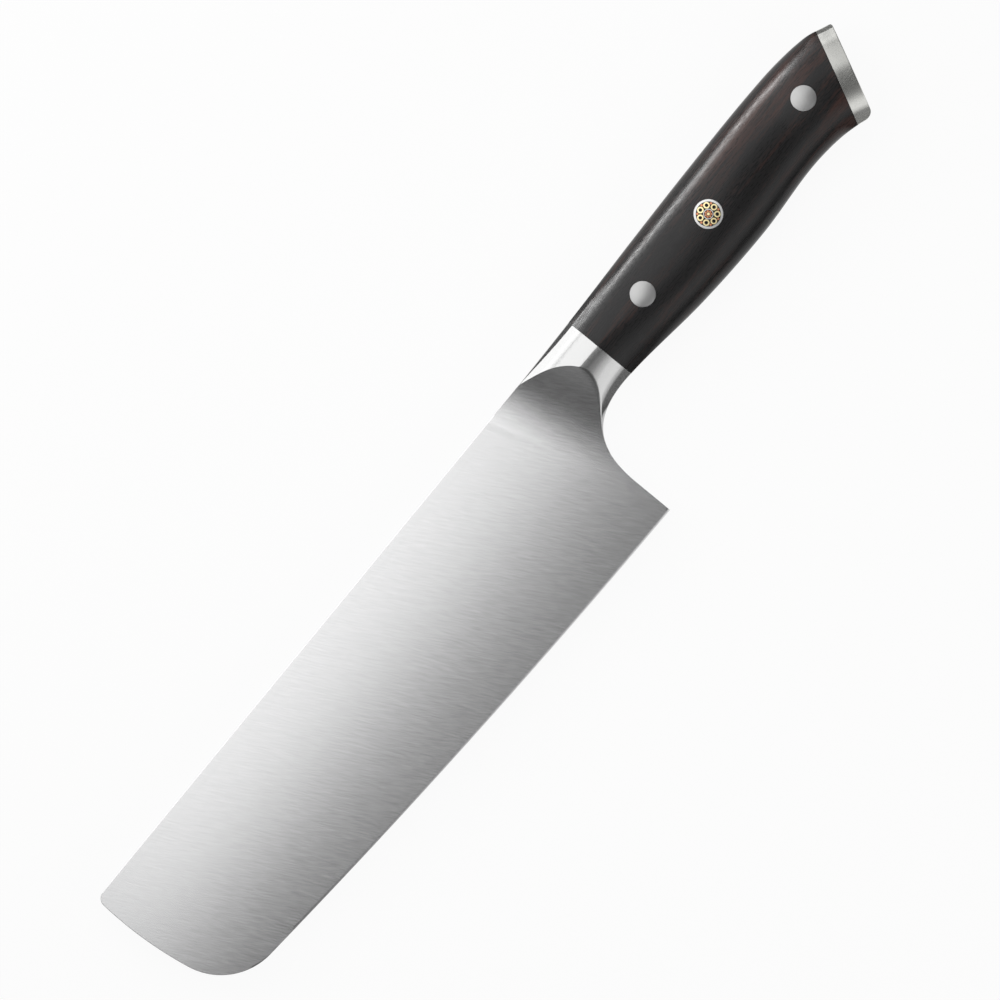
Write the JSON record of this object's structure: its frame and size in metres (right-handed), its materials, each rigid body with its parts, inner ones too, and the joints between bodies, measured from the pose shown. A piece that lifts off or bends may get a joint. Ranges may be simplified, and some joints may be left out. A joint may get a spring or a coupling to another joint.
{
  "type": "nakiri kitchen knife",
  "caption": "Nakiri vegetable knife with a straight-edged full-tang blade, forged bolster, dark wood scales held by rivets and a mosaic pin, and a slanted steel butt cap.",
  "frame": {"origin": "Under the middle of the bounding box of the knife, on the plane that its right side lies on.", "axes": "+X from the nose of the blade to the butt, along the spine; +Y from the cutting edge toward the spine; +Z out of the left side of the blade, which faces up."},
  "size_m": [0.3096, 0.0548, 0.0194],
  "materials": {
    "satin_steel": "satin ground across the blade",
    "polished_steel": "polished",
    "ebony": "oiled and buffed",
    "brass": "ground flush",
    "copper": "copper, ground flush",
    "resin": "black epoxy, ground flush"
  },
  "bodies": {
    "root": {"blade": "satin_steel", "bolster_left": "polished_steel", "bolster_right": "polished_steel", "scale_left": "ebony", "scale_right": "ebony", "butt_cap": "polished_steel", "front_rivet_socket": "satin_steel", "front_rivet_stud": "satin_steel", "rear_rivet_socket": "satin_steel", "rear_rivet_stud": "satin_steel", "mosaic_tube": "satin_steel", "mosaic_brass_tube_1": "brass", "mosaic_bore_resin_1": "resin", "mosaic_copper_wire_1": "copper", "mosaic_brass_tube_2": "brass", "mosaic_bore_resin_2": "resin", "mosaic_copper_wire_2": "copper", "mosaic_brass_tube_3": "brass", "mosaic_bore_resin_3": "resin", "mosaic_copper_wire_3": "copper", "mosaic_brass_tube_4": "brass", "mosaic_bore_resin_4": "resin", "mosaic_copper_wire_4": "copper", "mosaic_brass_tube_5": "brass", "mosaic_bore_resin_5": "resin", "mosaic_copper_wire_5": "copper", "mosaic_brass_tube_6": "brass", "mosaic_bore_resin_6": "resin", "mosaic_copper_wire_6": "copper", "mosaic_brass_tube_7": "brass", "mosaic_bore_resin_7": "resin", "mosaic_copper_wire_7": "copper", "mosaic_resin": "resin", "mosaic_core_sleeve": "satin_steel", "mosaic_core_brass": "brass", "mosaic_core_copper_1": "copper", "mosaic_core_copper_2": "copper", "mosaic_core_copper_3": "copper", "mosaic_core_copper_4": "copper", "mosaic_core_copper_5": "copper", "mosaic_core_copper_6": "copper", "mosaic_core_copper_7": "copper", "mosaic_core_resin": "resin"}
  },
  "joints": []
}
